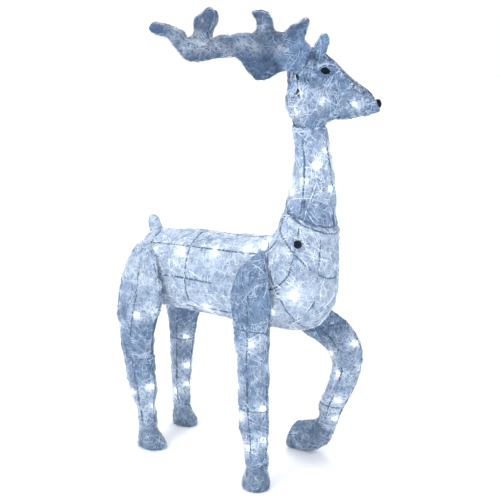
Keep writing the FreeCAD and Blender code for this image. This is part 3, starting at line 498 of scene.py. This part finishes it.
def remeshed(bm, voxel):
    """An even mesh over the given walls, open where they are open."""
    wall = BVHTree.FromBMesh(bm)
    bmesh.ops.holes_fill(bm, edges=bm.edges, sides=0)
    bmesh.ops.triangulate(bm, faces=bm.faces)
    obj = mesh_object("even", [], [])
    bm.to_mesh(obj.data)
    bm.free()
    modifier = obj.modifiers.new("even", "REMESH")
    modifier.mode = "VOXEL"
    modifier.voxel_size = voxel
    modifier.adaptivity = 0.0
    graph = bpy.context.evaluated_depsgraph_get()
    mesh = bpy.data.meshes.new_from_object(obj.evaluated_get(graph))
    bpy.data.objects.remove(obj)
    bm = bmesh.new()
    bm.from_mesh(mesh)
    bpy.data.meshes.remove(mesh)
    far = [f for f in bm.faces if wall.find_nearest(f.calc_center_median())[3] > voxel * OFF_WALL]
    bmesh.ops.delete(bm, geom=far, context="FACES")
    return bm


def even_surface(node, voxel):
    """The piece's outer wall as an even mesh, or all its walls where the outer one alone won't close."""
    outer = outer_wall(node)
    wanted = area_of(outer.faces) * LEAST_KEPT
    bm = remeshed(outer, voxel)
    if area_of(bm.faces) < wanted:
        bm.free()
        bm = remeshed(welded(node, SAME_POINT), voxel)
    for _ in range(SMOOTHINGS):
        bmesh.ops.smooth_vert(bm, verts=bm.verts, factor=0.5, use_axis_x=True, use_axis_y=True,
                              use_axis_z=True)
    bm.normal_update()
    return bm


def mesh_islands(bm):
    """The connected groups of vertices, in the mesh's own order."""
    unseen = set(bm.verts)
    islands = []
    for seed in bm.verts:
        if seed not in unseen:
            continue
        unseen.remove(seed)
        stack = [seed]
        island = []
        while stack:
            vert = stack.pop()
            island.append(vert)
            for edge in vert.link_edges:
                other = edge.other_vert(vert)
                if other in unseen:
                    unseen.remove(other)
                    stack.append(other)
        islands.append(island)
    return islands


def lamp_points(node):
    """The middles of the lamps of one string."""
    bm = welded(node, SAME_WIRE_POINT)
    points = [sum((vert.co for vert in island), Vector()) / len(island) for island in mesh_islands(bm)]
    places = np.array([tuple(point) for point in points])
    bm.free()
    return places


def lamp_powers(lamps, seed):
    """Most lamps are fully bright, the others faint, as if they point away."""
    chance = random.Random(seed)
    return [1.0 if chance.random() < BRIGHT_SHARE else chance.uniform(*FAINT) for _ in lamps]


def glow_values(coords, lamps, powers, reach):
    """How brightly each point is lit: a small core over each lamp, with a faint wider halo."""
    coords = np.asarray(coords, float)
    total = np.zeros(len(coords))
    for lamp, power in zip(lamps, powers):
        gap = np.linalg.norm(coords - lamp, axis=1)
        nearest = gap.min()
        if nearest > DEEPEST_LAMP:
            continue
        aside = gap ** 2 - nearest ** 2
        total += power * (np.exp(-aside / (reach * CORE_SHARE) ** 2)
                          + HALO_POWER * np.exp(-aside / (reach * HALO_SHARE) ** 2))
    return np.clip(total, 0.0, 1.0)


def set_glow(mesh, values):
    layer = mesh.attributes.new("glow", "FLOAT", "POINT")
    layer.data.foreach_set("value", np.asarray(values, np.float32))


# ------------------------------------------------------------------ film, threads and wires

BRIGHT_SHARE = 0.85             # of the lamps
FAINT = (0.05, 0.3)             # power of the others
DEEPEST_LAMP = 0.04             # lamps further inside light nothing
CORE_SHARE = 0.55               # radius of a lamp's bright core, as a share of its reach
HALO_SHARE = 1.8
HALO_POWER = 0.32
WAVES = ((17.0, 0.8), (48.0, 0.6), (140.0, 0.25))       # scale and share of the surface's lumps
LUMP_LIFT = 0.35                # outward bias of the lumps, so that inner wires stay covered
BURST_RAYS = 11                 # short threads round a bright lamp
BURST_REACH = 0.020
BURST_STEP = 0.005
BURST_RADIUS = 0.0007
BURST_LIFT = 0.0008
SWING_PITCH = 90.0              # how fast a thread weaves in and out, in radians a metre
WANDER = 0.07                   # how much a thread's way changes at each step
LOST_SURFACE = 0.006            # a thread ends where the surface is further away than this
SHORTEST_STEP = 0.4             # and where it moves less than this share of a step
FILM_DEPTH = 0.0010
WIRE_DEPTH = 0.0010             # how deep a showing wire's middle lies under the surface
WIRE_STRETCH = 0.008            # length over which a wire's depth is evened out
MOST_LIFT = 0.012
NEIGHBOURS = [(x, y, z) for x in (-1, 0, 1) for y in (-1, 0, 1) for z in (-1, 0, 1)]


def smooth_object(name, mesh):
    mesh.polygons.foreach_set("use_smooth", [True] * len(mesh.polygons))
    obj = bpy.data.objects.new(name, mesh)
    bpy.context.scene.collection.objects.link(obj)
    return obj


def roughen(bm, lump):
    """Pushes the surface in and out, as the hand-wound threads do."""
    moved = []
    for vert in bm.verts:
        wave = LUMP_LIFT + sum(noise.noise(vert.co * scale) * share for scale, share in WAVES)
        moved.append(vert.co + vert.normal * (wave * lump))
    for vert, place in zip(bm.verts, moved):
        vert.co = place
    bm.normal_update()


def film_piece(name, bm):
    """The film, a little under the surface that the threads lie on."""
    for vert, place in [(v, v.co - v.normal * FILM_DEPTH) for v in bm.verts]:
        vert.co = place
    mesh = bpy.data.meshes.new(name)
    bm.to_mesh(mesh)
    return smooth_object(name, mesh)


class Threads:
    """Collects square-section threads as one mesh."""

    def __init__(self):
        self.verts = []
        self.faces = []

    def add(self, rings):
        first = len(self.verts)
        for ring in rings:
            self.verts += [tuple(p) for p in ring]
        for ring in range(len(rings) - 1):
            base = first + ring * 4
            for corner in range(4):
                after = (corner + 1) % 4
                self.faces.append((base + corner, base + after, base + 4 + after, base + 4 + corner))
        last = first + (len(rings) - 1) * 4
        self.faces.append((first + 3, first + 2, first + 1, first))
        self.faces.append((last, last + 1, last + 2, last + 3))

    def trace(self, tree, point, normal, angle, length, step, thick, lift, swing, bend, chance):
        """Lays one thread along the surface, and returns how long it came out."""
        side = normal.orthogonal().normalized()
        way = side * math.cos(angle) + normal.cross(side) * math.sin(angle)
        rings = []
        for number in range(int(length / step) + 2):
            rise = lift + swing * math.sin(number * step * SWING_PITCH + angle)
            across = way.cross(normal).normalized()
            centre = point + normal * rise
            size = thick if number else thick * 0.4
            rings.append([centre + normal * size, centre + across * size, centre - normal * size,
                          centre - across * size])
            way = (way + across * (bend + chance.gauss(0, WANDER))).normalized()
            target = point + way * step
            found = tree.find_nearest(target)
            if found[0] is None or (found[0] - target).length > LOST_SURFACE:
                break
            moved = found[0] - point
            if moved.length < step * SHORTEST_STEP:
                break
            point = found[0]
            normal = found[1]
            way = (moved - normal * moved.dot(normal)).normalized()
        if len(rings) < 3:
            return step * 0.2
        self.add(rings)
        return step * (len(rings) - 1)


def thread_web(name, bm, tree, lamps, powers, layers, seed):
    """Threads laid over the surface at random, and short ones that spread from each bright lamp."""
    chance = random.Random(seed)
    bm.faces.ensure_lookup_table()
    ends = np.cumsum([f.calc_area() for f in bm.faces])
    threads = Threads()
    for spacing, radius, run, step in layers:
        wanted = 2.0 * ends[-1] / spacing
        total = 0.0
        while total < wanted:
            face = bm.faces[int(np.searchsorted(ends, chance.random() * ends[-1]))]
            total += threads.trace(tree, face.calc_center_median(), face.normal,
                                   chance.uniform(0, math.tau), chance.uniform(0.3, 1.6) * run, step,
                                   radius * chance.uniform(0.6, 1.4), chance.uniform(-0.0014, 0.0008),
                                   chance.uniform(0.0006, 0.0018), chance.gauss(0, 14.0) * step, chance)
    for lamp, power in zip(lamps, powers):
        found = tree.find_nearest(Vector(lamp))
        if power < 1.0 or found[3] > DEEPEST_LAMP:
            continue
        start = chance.uniform(0, math.tau)
        for ray in range(BURST_RAYS):
            threads.trace(tree, found[0], found[1],
                          start + math.tau * ray / BURST_RAYS + chance.gauss(0, 0.2),
                          chance.uniform(0.5, 1.4) * BURST_REACH, BURST_STEP,
                          BURST_RADIUS * chance.uniform(0.6, 1.4), BURST_LIFT, BURST_LIFT,
                          chance.gauss(0, 0.08), chance)
    mesh = bpy.data.meshes.new(name)
    mesh.from_pydata(threads.verts, [], threads.faces)
    mesh.update()
    return smooth_object(name, mesh)


def box_corners(verts):
    return [Vector([pick(v.co[k] for v in verts) for k in range(3)]) for pick in (min, max)]


def box_middle(verts):
    first, last = box_corners(verts)
    return (first + last) / 2


def box_size(verts):
    first, last = box_corners(verts)
    return last - first


def lift_wire(verts, tree):
    """Moves each stretch of a wire out to the surface above it, and keeps the wire's thickness."""
    places = [tree.find_nearest(vert.co) for vert in verts]
    depths = np.array([(place - vert.co).dot(normal)
                       for vert, (place, normal, _, _) in zip(verts, places)])
    coords = np.array([tuple(vert.co) for vert in verts])
    cells = {}
    for number, coord in enumerate(coords):
        cells.setdefault(tuple(np.floor(coord / WIRE_STRETCH).astype(int)), []).append(number)
    for cell, members in cells.items():
        around = [number for shift in NEIGHBOURS for number in
                  cells.get((cell[0] + shift[0], cell[1] + shift[1], cell[2] + shift[2]), [])]
        near = coords[around]
        for number in members:
            share = np.exp(-np.sum((near - coords[number]) ** 2, axis=1) / WIRE_STRETCH ** 2)
            depth = float(np.sum(share * depths[around]) / np.sum(share))
            verts[number].co += places[number][1] * min(depth - WIRE_DEPTH, MOST_LIFT)


def showing_frame(node, tree, axis, long_share, middles):
    """The wire frame with its long wires, and the wires with the given middles, at the surface.

    A long wire runs along the axis for at least the given share of the frame.
    """
    bm = welded(node, SAME_WIRE_POINT)
    whole = box_size(bm.verts)[axis]
    islands = mesh_islands(bm)
    chosen = {k for k, island in enumerate(islands) if box_size(island)[axis] >= long_share * whole}
    for middle in middles:
        chosen.add(min(range(len(islands)),
                       key=lambda k: (box_middle(islands[k]) - Vector(middle)).length))
    for k in chosen:
        lift_wire(islands[k], tree)
    mesh = bpy.data.meshes.new(node + "_wires")
    bm.to_mesh(mesh)
    bm.free()
    return smooth_object(node + "_wires", mesh)


LEG_NAMES = ("right_front", "left_front", "right_hind", "left_hind")
COARSE = (0.019, 0.00115, 0.13, 0.009)      # spacing, radius, run, step
MIDDLE = (0.015, 0.00075, 0.09, 0.008)
FINE = (0.012, 0.0005, 0.06, 0.007)
# skin node: (lamp string, kind, voxel, thread layers, glow reach, lump, frame node)
SKINS = {
    "torso_skin": ("torso_led_bulbs", "body", 0.0035, (COARSE, MIDDLE, FINE), 0.018, 0.004,
                   "torso_frame"),
    "tail_skin": ("torso_led_bulbs", "leg", 0.0025, (MIDDLE, FINE), 0.013, 0.002, "tail_frame"),
    "neck_skin": ("neck_led_bulbs", "neck", 0.003, (COARSE, MIDDLE, FINE), 0.014, 0.004,
                  "neck_frame"),
    "head_skin": ("head_led_bulbs", "head", 0.0028, (MIDDLE, FINE, FINE), 0.014, 0.002,
                  "head_frame"),
    "left_ear": ("head_led_bulbs", "head", 0.0018, (FINE, FINE), 0.012, 0.001, None),
    "right_ear": ("head_led_bulbs", "head", 0.0018, (FINE, FINE), 0.012, 0.001, None),
}
for side in ("left", "right"):
    SKINS[side + "_antler_skin"] = (side + "_antler_led_bulbs", "antler", 0.0025, (FINE, FINE), 0.010,
                                    0.0014, None)
for leg in LEG_NAMES:
    part = "foreleg" if "front" in leg else "leg"
    SKINS[leg + "_leg_skin"] = (leg + "_leg_led_bulbs", part, 0.003, (MIDDLE, MIDDLE, FINE), 0.014,
                                0.0035, leg + "_leg_frame")
    SKINS[leg + "_hoof"] = (leg + "_leg_led_bulbs", "hoof", 0.0025, (MIDDLE, FINE, FINE), 0.011, 0.001,
                            None)

# frame node: (axis, share of the whole along it that makes a wire a long one, middles of the hoops)
SHOWING = {
    "torso_frame": (0, 0.65, ((-0.263, 0.049, 0.511), (-0.123, 0.049, 0.51), (0.152, 0.049, 0.520),
                              (0.196, 0.049, 0.610), (0.2, 0.049, 0.683))),
    "neck_frame": (2, 0.5, ((0.201, 0.049, 0.695),)),
    "head_frame": (2, 2.0, ((0.239, 0.078, 1.02), (0.245, 0.106, 0.966), (0.267, 0.069, 0.966),
                            (0.212, 0.062, 1.010))),
    "right_front_leg_frame": (2, 0.85, ((0.094, -0.064, 0.41), (0.11, -0.075, 0.207))),
    "left_front_leg_frame": (2, 0.85, ((0.184, 0.163, 0.373), (0.21, 0.168, 0.156))),
    "right_hind_leg_frame": (2, 0.85, ((-0.281, -0.053, 0.27),)),
    "left_hind_leg_frame": (2, 0.85, ((-0.28, 0.151, 0.27),)),
}


def add_piece(piece, material, body):
    dress(piece, material)
    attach(piece, body)


LAMP_SEED = 50
THREAD_SEED = 100
powers_of = {}
for number, string in enumerate(sorted({row[0] for row in SKINS.values()})):
    points = lamp_points(string)
    powers_of[string] = (points, lamp_powers(points, LAMP_SEED + number))

for number, (node, row) in enumerate(sorted(SKINS.items())):
    string, kind, voxel, layers, reach, lump, wires = row
    lamps, powers = powers_of[string]
    surface = even_surface(node, voxel)
    roughen(surface, lump)
    tree = BVHTree.FromBMesh(surface)
    threads = thread_web(node + "_threads", surface, tree, lamps, powers, layers,
                         THREAD_SEED + number)
    if wires in SHOWING:
        shown = showing_frame(wires, tree, *SHOWING[wires])
        add_piece(shown, "frame_wire", body_of[wires])
        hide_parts(wires)
    film = film_piece(node + "_film", surface)
    surface.free()
    for piece, finish in ((threads, "_threads"), (film, "_film")):
        set_glow(piece.data, glow_values([v.co for v in piece.data.vertices], lamps, powers, reach))
        add_piece(piece, kind + finish, body_of[node])
    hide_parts(node)

# ------------------------------------------------------------------ floor

FLOOR_HALF = 40.0
FLOOR_FADE = (1.2, 5.0)         # where the floor passes into the background
FLOOR_GLOW = 0.3
floor = mesh_object("floor", [(x * FLOOR_HALF, y * FLOOR_HALF, 0.0) for x, y in
                              ((-1, -1), (1, -1), (1, 1), (-1, 1))], [(0, 1, 2, 3)])
floor_shader = Shader("pale_floor")
floor_tone = floor_shader.mix(floor_shader.noise(3.0), (0.93, 0.94, 0.95), (0.95, 0.955, 0.965))
from_middle = floor_shader.node("ShaderNodeVectorMath", operation="LENGTH")
floor_shader.link(floor_shader.coords, from_middle.inputs[0])
floor_shader.feed(floor_shader.bsdf.inputs["Emission Color"], (*BACKGROUND, 1.0))
floor_shader.feed(floor_shader.bsdf.inputs["Emission Strength"],
                  floor_shader.ramp(from_middle.outputs["Value"], *FLOOR_FADE, 0.0, FLOOR_GLOW))
floor.data.materials.append(floor_shader.finish(floor_tone, 0.7))
